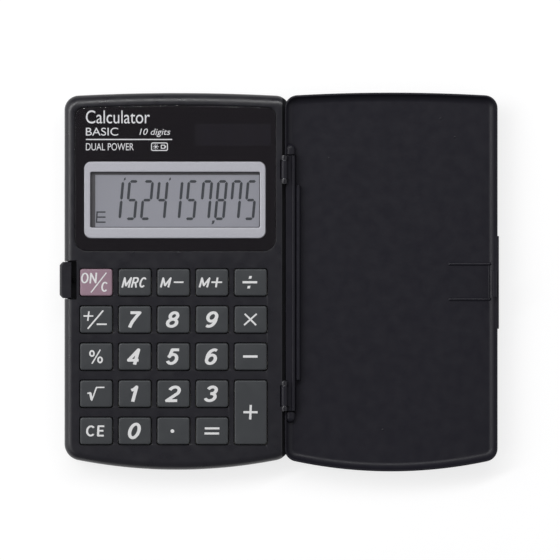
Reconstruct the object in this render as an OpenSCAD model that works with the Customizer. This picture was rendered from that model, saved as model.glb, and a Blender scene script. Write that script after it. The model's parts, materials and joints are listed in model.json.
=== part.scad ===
// Pocket calculator with a hinged cover, lying on its back with the cover open.
// Sizes are in millimetres. X runs across the keys, Y from the keys towards the
// display, and Z up. The origin is the centre of the lower case's flat underside.

/* [Case] */
// Width of the case
case_w = 67; // [66.5:0.1:68]
// Length of the case along its centre line
case_l = 112; // [112:0.1:113]
// Height of the key deck above the underside
deck_z = 9; // [9:0.05:9.2]
// Height at which the two halves of the case meet
split_z = 4.2; // [4:0.1:4.4]
// Thickness of the side walls
wall = 1.6; // [1.4:0.1:1.7]
// Thickness of the lower case's floor
floor_t = 1.5; // [1.3:0.1:1.5]
// Thickness of the key deck
deck_t = 1.4; // [1.3:0.05:1.5]
// Rounding of the deck's outer edge
shoulder_r = 2.5; // [1.5:0.1:2.7]
// Rounding of the underside's edge
foot_r = 1.5; // [0.8:0.1:1.5]

/* [Keys] */
// Width of a key
key_w = 9.6; // [9:0.1:9.7]
// Length of a plain key
key_l = 8; // [7.5:0.1:8.1]
// Spacing of the five key columns
key_pitch_x = 11.46; // [11.4:0.02:11.5]
// Spacing of the five key rows
key_pitch_y = 11.02; // [11:0.02:11.04]
// How far a key stands above the deck
key_rise = 0.9; // [0.6:0.1:1.2]
// How far a key goes down when it is pressed
key_travel = 0.7; // [0.5:0.1:0.7]

/* [Display] */
// Width of the window over the display
window_w = 59.9; // [59.5:0.1:60]
// Length of the window
window_l = 43.5; // [43.1:0.1:43.7]
// Thickness of the window
window_t = 0.7; // [0.5:0.1:0.8]

/* [Cover] */
// Width of the cover
cover_w = 63.3; // [63:0.1:63.4]
// Thickness of the cover's rim wall
rim_t = 0.9; // [0.8:0.1:1.2]
// Thickness of the cover's plate
plate_t = 1.2; // [1:0.1:1.3]
// Height of the cover's rim over its outer face
cover_h = 3.3; // [3.2:0.05:3.35]

/* [Hinge] */
// Distance of the hinge axis from the centre line
axis_x = 31.8; // [31.8:0.05:31.9]
// Height of the hinge axis
axis_z = 8.4; // [8.35:0.05:8.45]
// Radius of a hinge pin
pin_r = 0.5; // [0.4:0.05:0.5]
// Radius of a knuckle
knuckle_r = 1; // [0.9:0.05:1]

/* [Latch] */
// Length of the latch lever along the case's side
latch_l = 10.8; // [10:0.1:10.9]

/* [Hidden] */
$fn = 48;

over = 1;          // how far a cut runs past the face it opens
overlap = 0.2;     // how far a post or wall runs into what it stands on
slice_t = 0.01;    // thickness of the slices that a rounded edge is blended from
edge_steps = 4;    // slices in a rounded edge

case_colour = "#2e2e33";
key_colour = "#434548";
clear_key_colour = "#a0879a";
cover_colour = "#2a2930";
steel_colour = "#b9bbc0";

// Ends of the case: the display end bows out a little, the key end more
end_y = case_l / 2;
top_rise = 1;
bottom_rise = 3.7;
top_corner_r = 4.3;
bottom_corner_r = 5;
deck_edge_x = 31.25;             // the deck stops here on the hinge side
hollow_x = deck_edge_x - wall;   // inner face of the hinge side's wall
ceiling_z = deck_z - deck_t;

// Keys
key_x0 = -24;
key_y0 = -0.3;
key_gap = 0.2;                   // clearance round a key in its opening
key_corner_r = 0.75;
key_top_z = deck_z + key_rise;
key_shell_t = 1.1;
key_bevel = 0.4;
flange_l = 0.6;                  // the flange that keeps a key under the deck
flange_w = 6.4;
flange_t = 0.5;
tall_l = key_l + key_pitch_y;

// Board, keypad and display stack, from the board upwards
board_z = 4.9;
board_t = 0.8;
board_top = board_z + board_t;
sheet_t = 0.4;
dome_r = 3.2;
dome_top_r = 1.5;
dome_t = 0.4;
key_foot_z = board_top + sheet_t + key_travel + 0.2;
adhesive_t = 0.2;
fit_gap = 0.15;                  // gap round the display and the solar cell
window_x = -0.55;
window_y = 8.9;
window_z = deck_z - window_t;
recess_z = window_z - adhesive_t;
glass = [-26.9, 25.6, 13.6, 34.9];
bezel = [-27.65, 26.3, 12.8, 35.6];
bezel_hole = [-25.8, 24.7, 15.8, 32.5];
solar = [4.6, 28.4, 39.7, 47.5];
glass_z = 6.3;
glass_t = 1.1;
solar_t = 1;
holder_wall = 1.4;

// Screws
case_screw_spots = [[-27.5, 50.6], [27, 50.6], [-27.5, -51.1], [27, -51.1], [4.65, 6.3]];
board_screw_spots = [
    [-18.27, -5.81], [16.11, -5.81], [-18.27, -38.87], [4.65, -38.87], [-26.5, 37.7], [26.5, 37.7]
];
boss_r = 2;
small_boss_r = 1.2;
case_screw_r = 1;
case_head_r = 1.6;
board_screw_r = 0.55;
screw_seat_z = 1.2;
screw_tip_z = 7.2;
screw_clear = 0.1;               // room past a screw's tip and round its shank

// Button cell and its holder
cell_spot = [-14, 43.6];
cell_r = 5.8;
cell_t = 3.05;
contact_t = 0.2;
cell_z = floor_t + contact_t;
holder_ring_h = 2.7;
holder_slot_l = 4.8;             // gap of the ring that the contact passes through

// Cover, which lies beside the case at the height of the deck when it is open
cover_clear = 0.1;               // gap between the closed rim and the deck
rim_z = 2 * axis_z - deck_z - cover_clear;
cover_z = rim_z - cover_h;
cover_x0 = axis_x + 0.1;
cover_x = cover_x0 + cover_w / 2;
cover_x1 = cover_x0 + cover_w;
cover_top = 56.1;
cover_bottom = -56.5;
cover_corner_r = 3.9;
cover_edge_r = 1.4;
cover_fillet = 1.8;              // slope between the rim and the plate

// Hinge: two knuckles, each a barrel of the bar between two ears of the case
knuckles = [[29, 37.4], [-38.5, -29.6]];
ear_l = 1.4;
knuckle_gap = 0.1;
pin_clear = 0.05;
swing_clear = 0.15;
bar_x0 = 32.1;
bar_x1 = 35.2;
bar_y0 = -38.5;
bar_y1 = 37.4;
bar_pin_r = 0.6;
bar_pin_l = 2.4;
bar_mid_x = (bar_x0 + bar_x1) / 2;
bar_mid_z = rim_z - cover_h / 2;
bar_play = 0.2;                  // gap between the bar's ends and the cover
socket_l = 3.4;
rib = [35.3, 36.8, -29.4, 28.6];

// Latch: a rocker on the side away from the hinge, which grips the cover's tongue
latch_y = 0.4;
latch_x0 = -34.9;
latch_x1 = -31.6;
latch_pin_x = -32.6;
latch_pin_z = split_z;
latch_foot_z = 1.7;
latch_top_z = deck_z - 0.1;
latch_chamfer = 0.9;
latch_pin_reach = 7.2;
lip = 0.2;
pocket_gap = 0.3;
pocket_x1 = -29.9;
pocket_wall = 0.85;
pocket_floor_z = 1;
tongue_y = -0.75;
tongue_l = 7.7;

// Points of an arc round a centre, from one angle to another
function arc(centre, r, from, to, steps) = [
    for (i = [0 : steps])
        let (a = from + (to - from) * i / steps)
        centre + r * [cos(a), sin(a)]
];

// Half of an outline: a straight side, a rounded corner, a bowed end, and back.
// The end bows out by rise over the full width, and tip is its farthest point.
function bowed_end(half, tip, rise, corner, inset) =
    let (
        h = half - inset,
        c = corner - inset,
        bow = (half * half + rise * rise) / (2 * rise) - inset,
        mid = [0, tip - inset - bow],
        turn = asin((h - c) / (bow - c)),
        spot = mid + (bow - c) * [sin(turn), cos(turn)]
    )
    concat(
        arc(spot, c, 0, 90 - turn, 6),
        arc(mid, bow, 90 - turn * 0.85, 90 + turn * 0.85, 9),
        arc([-spot.x, spot.y], c, 90 + turn, 180, 6)
    );

function both_ends(display_end, key_end) = concat(display_end, [for (p = key_end) -p]);

function case_outline(inset) = both_ends(
    bowed_end(case_w / 2, end_y, top_rise, top_corner_r, inset),
    bowed_end(case_w / 2, end_y, bottom_rise, bottom_corner_r, inset)
);

function cover_outline(inset) = [
    for (p = both_ends(
        bowed_end(cover_w / 2, cover_top, top_rise, cover_corner_r, inset),
        bowed_end(cover_w / 2, -cover_bottom, bottom_rise, cover_corner_r, inset)
    )) p + [cover_x, 0]
];

function window_outline(inset) = [
    for (p = both_ends(
        bowed_end(window_w / 2, window_l / 2, 0.8, 2.7, inset),
        bowed_end(window_w / 2, window_l / 2, 0.05, 3.8, inset)
    )) p + [window_x, window_y + window_l / 2]
];

// Rectangle with rounded corners, about its own centre
function soft_rectangle(w, l, r) = concat(
    arc([w / 2 - r, l / 2 - r], r, 0, 90, 4),
    arc([r - w / 2, l / 2 - r], r, 90, 180, 4),
    arc([r - w / 2, r - l / 2], r, 180, 270, 4),
    arc([w / 2 - r, r - l / 2], r, 270, 360, 4)
);

function key_x(column) = key_x0 + column * key_pitch_x;
function key_y(row) = key_y0 - row * key_pitch_y;
tall_y = (key_y(3) + key_y(4)) / 2;

// Block over a rectangle given as [left, right, near, far]
module slab(area, z0, z1, grow = 0) {
    translate([area[0] - grow, area[2] - grow, z0])
        cube([area[1] - area[0] + 2 * grow, area[3] - area[2] + 2 * grow, z1 - z0]);
}

// Cylinder that runs along Y
module rod(x, z, y0, y1, r) {
    translate([x, y0, z]) rotate([-90, 0, 0]) cylinder(h = y1 - y0, r = r);
}

module slice(points, z) {
    translate([0, 0, z]) linear_extrude(slice_t) polygon(points);
}

// The case's outer shape between two heights, with a rounded edge at either
module case_block(z0, z1, low_r, high_r) {
    hull() {
        for (i = [0 : edge_steps]) {
            a = 90 * i / edge_steps;
            slice(case_outline(low_r * (1 - cos(a))), z0 + low_r * (1 - sin(a)));
            slice(case_outline(high_r * (1 - cos(a))), z1 - slice_t - high_r * (1 - sin(a)));
        }
    }
}

module cover_block() {
    hull() {
        for (i = [0 : edge_steps]) {
            a = 90 * i / edge_steps;
            slice(cover_outline(cover_edge_r * (1 - cos(a))), cover_z + cover_edge_r * (1 - sin(a)));
        }
        slice(cover_outline(0), rim_z - slice_t);
    }
}

// Plan of the room inside the case
module hollow_plan() {
    intersection() {
        polygon(case_outline(wall));
        translate([-case_w, -case_l]) square([case_w + hollow_x, 2 * case_l]);
    }
}

// The box that walls off the latch's pocket from the room inside
module pocket_walls(z0, z1) {
    area = [
        1 - case_w / 2, pocket_x1 + pocket_wall,
        latch_y - latch_l / 2 - pocket_gap - pocket_wall,
        latch_y + latch_l / 2 + pocket_gap + pocket_wall
    ];
    slab(area, z0, z1);
}

module pocket_cut(z0, z1) {
    area = [
        -case_w, pocket_x1,
        latch_y - latch_l / 2 - pocket_gap,
        latch_y + latch_l / 2 + pocket_gap
    ];
    slab(area, z0, z1);
}

module latch_rod(r, reach) {
    rod(latch_pin_x, latch_pin_z, latch_y - reach, latch_y + reach, r);
}

module lower_case() {
    color(case_colour) difference() {
        union() {
            difference() {
                case_block(0, split_z, foot_r, 0);
                translate([0, 0, floor_t]) linear_extrude(split_z) hollow_plan();
            }
            pocket_walls(floor_t, split_z);
            for (p = case_screw_spots)
                translate([p.x, p.y, floor_t - overlap])
                    cylinder(h = split_z - floor_t + overlap, r = boss_r);
            translate([cell_spot.x, cell_spot.y, floor_t - overlap]) difference() {
                cylinder(h = holder_ring_h, r = cell_r + 1);
                translate([0, 0, -over]) cylinder(h = holder_ring_h + 2 * over, r = cell_r + fit_gap);
                translate([0, -holder_slot_l / 2, 0]) cube([2 * cell_r, holder_slot_l, deck_z]);
            }
        }
        pocket_cut(pocket_floor_z, split_z + over);
        latch_rod(pin_r, latch_pin_reach + screw_clear);
        for (p = case_screw_spots) {
            translate([p.x, p.y, -over]) cylinder(h = screw_seat_z + over, r = case_head_r + fit_gap);
            translate([p.x, p.y, -over]) cylinder(h = deck_z, r = case_screw_r + screw_clear);
        }
    }
}

// Openings of the deck for the keys, with clearance round each key
module key_openings() {
    for (column = [0 : 4], row = [0 : 4])
        if (column < 4 || row < 3)
            translate([key_x(column), key_y(row), ceiling_z - over])
                linear_extrude(deck_t + 2 * over)
                    polygon(soft_rectangle(key_w + 2 * key_gap, key_l + 2 * key_gap, key_corner_r));
    translate([key_x(4), tall_y, ceiling_z - over])
        linear_extrude(deck_t + 2 * over)
            polygon(soft_rectangle(key_w + 2 * key_gap, tall_l + 2 * key_gap, key_corner_r));
}

// Ears of the case that carry the hinge pins
module ears() {
    for (k = knuckles, y = [k[0], k[1] - ear_l]) {
        rod(axis_x, axis_z, y, y + ear_l, knuckle_r);
        slab([deck_edge_x - 1, axis_x, y, y + ear_l], axis_z - 2, axis_z);
    }
}

// Notches of the case that the bar's barrels turn in
module barrel_notches() {
    for (k = knuckles)
        slab([axis_x - knuckle_r - swing_clear, case_w, k[0] + ear_l, k[1] - ear_l],
            axis_z - 2.2, deck_z + over);
}

module upper_case() {
    color(case_colour) difference() {
        union() {
            difference() {
                case_block(split_z, deck_z, 0, shoulder_r);
                translate([0, 0, split_z - over]) linear_extrude(ceiling_z - split_z + over) hollow_plan();
                slab([deck_edge_x, case_w, -case_l, case_l], split_z - over, deck_z + over);
            }
            pocket_walls(split_z, ceiling_z + overlap);
            for (p = case_screw_spots)
                translate([p.x, p.y, split_z]) cylinder(h = ceiling_z - split_z + overlap, r = boss_r);
            for (p = board_screw_spots)
                translate([p.x, p.y, board_top])
                    cylinder(h = ceiling_z - board_top + overlap, r = small_boss_r);
            ears();
        }
        pocket_cut(split_z - over, deck_z + over);
        latch_rod(pin_r, latch_pin_reach + screw_clear);
        key_openings();
        barrel_notches();
        translate([0, 0, recess_z]) linear_extrude(deck_t) polygon(window_outline(-0.1));
        slab(bezel, ceiling_z - over, deck_z, fit_gap);
        slab(solar, ceiling_z - over, deck_z, fit_gap);
        for (k = knuckles) rod(axis_x, axis_z, k[0] - over, k[1] + over, pin_r);
        for (p = case_screw_spots)
            translate([p.x, p.y, split_z - over])
                cylinder(h = screw_tip_z + screw_clear - split_z + over, r = case_screw_r);
        for (p = board_screw_spots)
            translate([p.x, p.y, board_top - over])
                cylinder(h = screw_tip_z + screw_clear - board_top + over, r = board_screw_r);
    }
}

module display_window() {
    color("#1e1a20", 0.6) translate([0, 0, window_z]) linear_extrude(window_t) polygon(window_outline(0));
}

module window_adhesive() {
    color("#18161a") difference() {
        translate([0, 0, recess_z]) linear_extrude(adhesive_t) polygon(window_outline(0.1));
        slab(bezel, recess_z - over, deck_z, fit_gap);
        slab(solar, recess_z - over, deck_z, -0.6);
    }
}

module display_bezel() {
    color("#a8a8ae") difference() {
        translate([(bezel[0] + bezel[1]) / 2, (bezel[2] + bezel[3]) / 2, glass_z + glass_t])
            linear_extrude(window_z - 0.05 - glass_z - glass_t)
                polygon(soft_rectangle(bezel[1] - bezel[0], bezel[3] - bezel[2], 2.1));
        slab(bezel_hole, glass_z, deck_z);
    }
}

module lcd_glass() {
    color("#8a8d93") slab(glass, glass_z, glass_z + glass_t);
}

module lcd_reflector() {
    color("#9fa3a8") slab([glass[0], glass[1], glass[2] + 2, glass[3]], glass_z - 0.15, glass_z);
}

module lcd_holder() {
    color("#e6e6e2") difference() {
        slab(glass, board_top, ceiling_z, holder_wall);
        slab(glass, board_top - over, ceiling_z + over, 0.1);
        slab(bezel, glass_z + glass_t, ceiling_z + over, fit_gap);
    }
}

module lcd_connector() {
    color("#d98aa0") slab([-24, 23, glass[2] + 0.2, glass[2] + 1.7], board_top, glass_z);
}

module solar_cell() {
    color("#2a1f33") slab(solar, recess_z - solar_t, recess_z);
}

module solar_leads() {
    color("#b04038") for (x = [solar[0] + 1.5, solar[1] - 1.5])
        translate([x, solar[2] + 1.2, board_top]) cylinder(h = recess_z - solar_t - board_top, r = 0.3);
}

module circuit_board() {
    color("#5f7a3c") difference() {
        slab([-28.4, 28.4, -49.4, 49.4], board_z, board_top);
        for (p = case_screw_spots)
            translate([p.x, p.y, board_z - over]) cylinder(h = 4, r = boss_r + 0.5);
        for (p = board_screw_spots)
            translate([p.x, p.y, board_z - over]) cylinder(h = 4, r = board_screw_r + fit_gap);
    }
}

module chip_cap() {
    color("#141414") intersection() {
        translate([9, 24, board_z + 8.1]) sphere(r = 9, $fn = 96);
        slab([4, 14, 19, 29], board_z - 2, board_z);
    }
}

module capacitor() {
    color("#27406e") rod(20, board_z - 1.25, 40, 46, 1.25);
}

// One rubber dome, hollow underneath, under the middle of a key
module dome(x, y) {
    translate([x, y, board_top + sheet_t])
        cylinder(h = key_foot_z - board_top - sheet_t, r1 = dome_r, r2 = dome_top_r);
}

module dome_hollow(x, y) {
    translate([x, y, board_top - slice_t])
        cylinder(h = key_foot_z - board_top - dome_t, r1 = dome_r, r2 = dome_top_r - 0.4);
}

module rubber_keypad() {
    spots = concat(
        [for (column = [0 : 4], row = [0 : 4]) if (column < 4 || row < 3) [key_x(column), key_y(row)]],
        [[key_x(4), tall_y]]
    );
    color("#c9c6bd") difference() {
        union() {
            slab([-28.4, 28.4, -48.9, 4], board_top, board_top + sheet_t);
            for (p = spots) dome(p.x, p.y);
        }
        for (p = spots) dome_hollow(p.x, p.y);
        for (p = board_screw_spots)
            translate([p.x, p.y, board_z]) cylinder(h = 3, r = small_boss_r + 0.2);
    }
}

module battery_cell() {
    color(steel_colour) translate([cell_spot.x, cell_spot.y, cell_z]) {
        cylinder(h = cell_t - 0.35, r = cell_r);
        cylinder(h = cell_t, r = cell_r - 0.9);
    }
}

module battery_contact_positive() {
    x = cell_spot.x;
    y = cell_spot.y;
    color("#c8a860") slab([x - 3, x + 3, y - 1.5, y + 1.5], cell_z + cell_t, board_z);
}

module battery_contact_negative() {
    x = cell_spot.x;
    y = cell_spot.y;
    color("#c8a860") {
        slab([x - 3, x + 8.2, y - 1.5, y + 1.5], floor_t, floor_t + contact_t);
        slab([x + 8, x + 8.2, y - 1.5, y + 1.5], floor_t, board_z);
    }
}

// Screw with a crossed slot, its head underneath
module screw(x, y, head_z, head_h, head_r, shank_r, tip_z) {
    slot = 0.25 * head_r;
    translate([x, y, head_z]) difference() {
        union() {
            cylinder(h = head_h, r = head_r);
            cylinder(h = tip_z - head_z, r = shank_r);
        }
        for (turn = [0, 90])
            rotate([0, 0, turn])
                translate([-0.65 * head_r, -slot / 2, -over]) cube([1.3 * head_r, slot, over + 0.5 * head_h]);
    }
}

module case_screws() {
    color(steel_colour) for (p = case_screw_spots)
        screw(p.x, p.y, screw_seat_z - 1, 1, case_head_r, case_screw_r, screw_tip_z);
}

module board_screws() {
    color(steel_colour) for (p = board_screw_spots)
        screw(p.x, p.y, board_z - 0.6, 0.6, 2 * board_screw_r, board_screw_r, screw_tip_z);
}

// Tongue of the cover, which the latch holds, with a barb at its tip
module tongue() {
    tip_z = 2 * axis_z - 6.6;
    x0 = 2 * axis_x + 30.1;
    y0 = tongue_y - tongue_l / 2;
    y1 = tongue_y + tongue_l / 2;
    slab([x0, x0 + 0.9, y0, y1], cover_z + plate_t, tip_z);
    slab([x0, x0 + 1.2, y0, y1], tip_z - 0.6, tip_z);
}

// Low ridge on the cover's plate, a frame round the middle of the latch side
module plate_ridge() {
    area = [81, 92.8, -5.2, 4.9];
    difference() {
        slab(area, cover_z + plate_t - 0.1, cover_z + plate_t + 0.35);
        slab(area, cover_z, rim_z, -0.45);
    }
}

// Sockets of the cover for the pins at the bar's ends
module bar_sockets() {
    for (y = [bar_y0 - bar_play - socket_l, bar_y1 + bar_play]) {
        rod(bar_mid_x, bar_mid_z, y, y + socket_l, cover_h / 2);
        slab([bar_mid_x - 1.3, bar_x1, y, y + socket_l], cover_z + 0.4, bar_mid_z);
    }
}

// Room inside the cover, whose sides slope out towards the rim
module cover_hollow() {
    plate_z = cover_z + plate_t;
    hull() {
        slice(cover_outline(rim_t + cover_fillet), plate_z);
        slice(cover_outline(rim_t + 0.3 * cover_fillet), plate_z + 0.3 * (rim_z - plate_z));
        slice(cover_outline(rim_t), rim_z - 0.2);
        slice(cover_outline(rim_t), rim_z + over);
    }
}

module cover() {
    color(cover_colour) difference() {
        union() {
            difference() {
                cover_block();
                cover_hollow();
            }
            slab(rib, cover_z + 0.6, rim_z);
            slab([cover_x1 - rim_t, cover_x1 + 0.4, -14.1, 13.5], cover_z + 1.4, rim_z);
            bar_sockets();
            plate_ridge();
            tongue();
        }
        slab([0, rib[0], bar_y0 - bar_play, bar_y1 + bar_play], 0, deck_z);
        rod(bar_mid_x, bar_mid_z, bar_y0 - bar_pin_l - 0.4, bar_y1 + bar_pin_l + 0.4, bar_pin_r + 0.02);
    }
}

module hinge_bar() {
    soft = 0.5;
    color(cover_colour) difference() {
        union() {
            difference() {
                translate([0, bar_y1, 0]) rotate([90, 0, 0]) linear_extrude(bar_y1 - bar_y0)
                    polygon([
                        [bar_x0, cover_z + soft], [bar_x0 + soft, cover_z], [bar_x1 - soft, cover_z],
                        [bar_x1, cover_z + soft], [bar_x1, rim_z - soft], [bar_x1 - soft, rim_z],
                        [bar_x0 + 1.6, rim_z], [bar_x0, rim_z - 0.9]
                    ]);
                for (k = knuckles)
                    rod(axis_x, axis_z, k[0] - knuckle_gap, k[1] + knuckle_gap, knuckle_r + swing_clear);
            }
            for (k = knuckles) {
                y0 = k[0] + ear_l + knuckle_gap;
                y1 = k[1] - ear_l - knuckle_gap;
                rod(axis_x, axis_z, y0, y1, knuckle_r);
                slab([axis_x - 0.7, bar_mid_x, y0, y1], axis_z - 2, rim_z);
            }
            rod(bar_mid_x, bar_mid_z, bar_y0 - bar_pin_l, bar_y1 + bar_pin_l, bar_pin_r);
        }
        for (k = knuckles) rod(axis_x, axis_z, k[0] - over, k[1] + over, pin_r + pin_clear);
    }
}

module hinge_pin_upper() {
    color(steel_colour) rod(axis_x, axis_z, knuckles[0][0], knuckles[0][1], pin_r);
}

module hinge_pin_lower() {
    color(steel_colour) rod(axis_x, axis_z, knuckles[1][0], knuckles[1][1], pin_r);
}

module latch_lever() {
    y0 = latch_y - latch_l / 2;
    y1 = latch_y + latch_l / 2;
    color(case_colour) difference() {
        intersection() {
            translate([0, y1, 0]) rotate([90, 0, 0]) linear_extrude(latch_l)
                polygon([
                    [latch_x1, latch_foot_z], [latch_x0 + 1.6, latch_foot_z],
                    [latch_x0, latch_foot_z + 1.6], [latch_x0, latch_top_z - 0.9],
                    [latch_x0 + 0.6, latch_top_z], [latch_x1 + lip, latch_top_z],
                    [latch_x1 + lip, latch_top_z - 1], [latch_x1, latch_top_z - 1.2]
                ]);
            translate([0, 0, latch_foot_z - over]) linear_extrude(deck_z)
                polygon([
                    [latch_x1 + over, y0], [latch_x0 + latch_chamfer, y0],
                    [latch_x0, y0 + latch_chamfer], [latch_x0, y1 - latch_chamfer],
                    [latch_x0 + latch_chamfer, y1], [latch_x1 + over, y1]
                ]);
        }
        latch_rod(pin_r + pin_clear, latch_l);
    }
}

module latch_pin() {
    color(steel_colour) latch_rod(pin_r, latch_pin_reach);
}

// Coil spring between the lever's foot and the pocket's inner wall
spring_r = 0.7;
wire_r = 0.12;
spring_turns = 4;
spring_sides = 6;
spring_steps = 14 * spring_turns;

function spring_ring(i) =
    let (
        a = 360 * spring_turns * i / spring_steps,
        length = pocket_x1 - latch_x1 - 2 * wire_r,
        out = [0, cos(a), sin(a)],
        spot = [latch_x1 + wire_r + length * i / spring_steps, latch_y, latch_foot_z + 1] + spring_r * out
    )
    [for (k = [0 : spring_sides - 1])
        let (b = 360 * k / spring_sides) spot + wire_r * (cos(b) * out + sin(b) * [1, 0, 0])];

module latch_spring() {
    points = [for (i = [0 : spring_steps]) each spring_ring(i)];
    faces = concat(
        [[for (k = [0 : spring_sides - 1]) k]],
        [for (i = [0 : spring_steps - 1], k = [0 : spring_sides - 1])
            let (n = (k + 1) % spring_sides, low = i * spring_sides, high = low + spring_sides)
            [low + k, high + k, high + n, low + n]],
        [[for (k = [spring_sides - 1 : -1 : 0]) spring_steps * spring_sides + k]]
    );
    color(steel_colour) polyhedron(points, faces);
}

// Key with a bevelled top, hollow underneath round a post that rests on its dome
module key_at(x, y, length, tint) {
    inner_w = key_w - 2 * key_shell_t;
    inner_l = length - 2 * key_shell_t;
    bevel_z = key_top_z - key_bevel;
    color(tint) translate([x, y, 0]) {
        difference() {
            union() {
                translate([0, 0, key_foot_z]) linear_extrude(bevel_z - key_foot_z)
                    polygon(soft_rectangle(key_w, length, key_corner_r));
                hull() {
                    slice(soft_rectangle(key_w, length, key_corner_r), bevel_z);
                    slice(
                        soft_rectangle(key_w - 1.6 * key_bevel, length - 1.6 * key_bevel, key_corner_r),
                        key_top_z - slice_t
                    );
                }
                slab([-flange_w / 2, flange_w / 2, -length / 2 - flange_l, length / 2 + flange_l],
                    key_foot_z, key_foot_z + flange_t);
            }
            slab([-inner_w / 2, inner_w / 2, -inner_l / 2, inner_l / 2], key_foot_z - over, bevel_z - 0.8);
        }
        translate([0, 0, key_foot_z]) cylinder(h = bevel_z - key_foot_z, r = dome_top_r);
    }
}

module plain_key(column, row) {
    key_at(key_x(column), key_y(row), key_l, key_colour);
}

module key_on_clear() { key_at(key_x(0), key_y(0), key_l, clear_key_colour); }
module key_memory_recall() { plain_key(1, 0); }
module key_memory_minus() { plain_key(2, 0); }
module key_memory_plus() { plain_key(3, 0); }
module key_divide() { plain_key(4, 0); }
module key_sign() { plain_key(0, 1); }
module key_7() { plain_key(1, 1); }
module key_8() { plain_key(2, 1); }
module key_9() { plain_key(3, 1); }
module key_multiply() { plain_key(4, 1); }
module key_percent() { plain_key(0, 2); }
module key_4() { plain_key(1, 2); }
module key_5() { plain_key(2, 2); }
module key_6() { plain_key(3, 2); }
module key_minus() { plain_key(4, 2); }
module key_root() { plain_key(0, 3); }
module key_1() { plain_key(1, 3); }
module key_2() { plain_key(2, 3); }
module key_3() { plain_key(3, 3); }
module key_plus() { key_at(key_x(4), tall_y, tall_l, key_colour); }
module key_clear_entry() { plain_key(0, 4); }
module key_0() { plain_key(1, 4); }
module key_point() { plain_key(2, 4); }
module key_equals() { plain_key(3, 4); }

lower_case();
upper_case();
display_window();
window_adhesive();
display_bezel();
lcd_glass();
lcd_reflector();
lcd_holder();
lcd_connector();
solar_cell();
solar_leads();
circuit_board();
chip_cap();
capacitor();
rubber_keypad();
battery_cell();
battery_contact_positive();
battery_contact_negative();
case_screws();
board_screws();
cover();
hinge_bar();
hinge_pin_upper();
hinge_pin_lower();
latch_lever();
latch_pin();
latch_spring();
key_on_clear();
key_memory_recall();
key_memory_minus();
key_memory_plus();
key_divide();
key_sign();
key_7();
key_8();
key_9();
key_multiply();
key_percent();
key_4();
key_5();
key_6();
key_minus();
key_root();
key_1();
key_2();
key_3();
key_plus();
key_clear_entry();
key_0();
key_point();
key_equals();
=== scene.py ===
import json
import math

import bmesh
import bpy
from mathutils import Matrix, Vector
from mathutils.geometry import delaunay_2d_cdt


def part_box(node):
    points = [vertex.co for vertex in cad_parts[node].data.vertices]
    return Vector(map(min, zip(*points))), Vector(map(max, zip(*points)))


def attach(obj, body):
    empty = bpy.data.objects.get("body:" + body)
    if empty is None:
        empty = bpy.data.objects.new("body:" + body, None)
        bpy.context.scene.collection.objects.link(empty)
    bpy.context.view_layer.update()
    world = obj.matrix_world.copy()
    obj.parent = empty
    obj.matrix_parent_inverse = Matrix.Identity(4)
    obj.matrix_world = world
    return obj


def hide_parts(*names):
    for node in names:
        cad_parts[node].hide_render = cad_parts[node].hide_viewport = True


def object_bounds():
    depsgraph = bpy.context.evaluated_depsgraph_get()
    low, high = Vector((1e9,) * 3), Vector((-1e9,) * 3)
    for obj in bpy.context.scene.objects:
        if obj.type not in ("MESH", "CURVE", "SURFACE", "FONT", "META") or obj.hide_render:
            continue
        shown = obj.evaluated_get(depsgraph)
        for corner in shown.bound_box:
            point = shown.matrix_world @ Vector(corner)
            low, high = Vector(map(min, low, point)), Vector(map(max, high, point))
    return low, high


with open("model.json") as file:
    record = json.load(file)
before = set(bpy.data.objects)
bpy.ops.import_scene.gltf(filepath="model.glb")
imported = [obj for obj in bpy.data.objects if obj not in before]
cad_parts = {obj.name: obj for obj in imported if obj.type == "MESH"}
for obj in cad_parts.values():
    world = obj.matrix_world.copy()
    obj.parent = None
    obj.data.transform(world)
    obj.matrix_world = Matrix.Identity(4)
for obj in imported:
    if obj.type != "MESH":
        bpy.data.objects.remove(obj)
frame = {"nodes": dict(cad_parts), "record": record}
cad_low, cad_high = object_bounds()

# Shapes are drawn in millimetres, in the CAD model's frame, and turned into metres
# when a mesh is made.
MM = 0.001


def box(node):
    """A CAD node's lowest and highest corners, in millimetres."""
    low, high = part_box(node)
    return low / MM, high / MM


# ---- camera and light

centre = (cad_low + cad_high) / 2
VIEW_SHIFT = Vector((0.0002, 0.0006, 0))  # the object's place in the view
VIEW_WIDTH = 1.274 * (cad_high.x - cad_low.x)
CAMERA_HEIGHT = 2.0
SENSOR = 36.0


def new_object(name, data):
    """An object in the scene."""
    made = bpy.data.objects.new(name, data)
    bpy.context.scene.collection.objects.link(made)
    return made


def make_camera():
    data = bpy.data.cameras.new("camera")
    data.sensor_width = SENSOR
    data.lens = SENSOR * (CAMERA_HEIGHT - box("display_window")[1].z * MM) / VIEW_WIDTH
    data.clip_start = 0.1
    camera = new_object("camera", data)
    camera.location = (centre.x + VIEW_SHIFT.x, centre.y + VIEW_SHIFT.y, CAMERA_HEIGHT)
    bpy.context.scene.camera = camera


# Each light's place about the middle of the object, its size in metres and its power:
# one long low strip behind the display end, as over a copying bed, and two weak fills.
LIGHTS = {
    "strip_light": ((-0.24, 0.52, 0.8), (2.2, 0.11), 9.5),
    "left_light": ((-0.9, 0.1, 0.6), (1.5, 1.2), 6.0),
    "right_light": ((0.9, 0.1, 0.6), (1.5, 1.2), 2.5),
}
SKY_COLOUR, SKY_STRENGTH = (0.95, 0.95, 1.0, 1), 0.2


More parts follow.
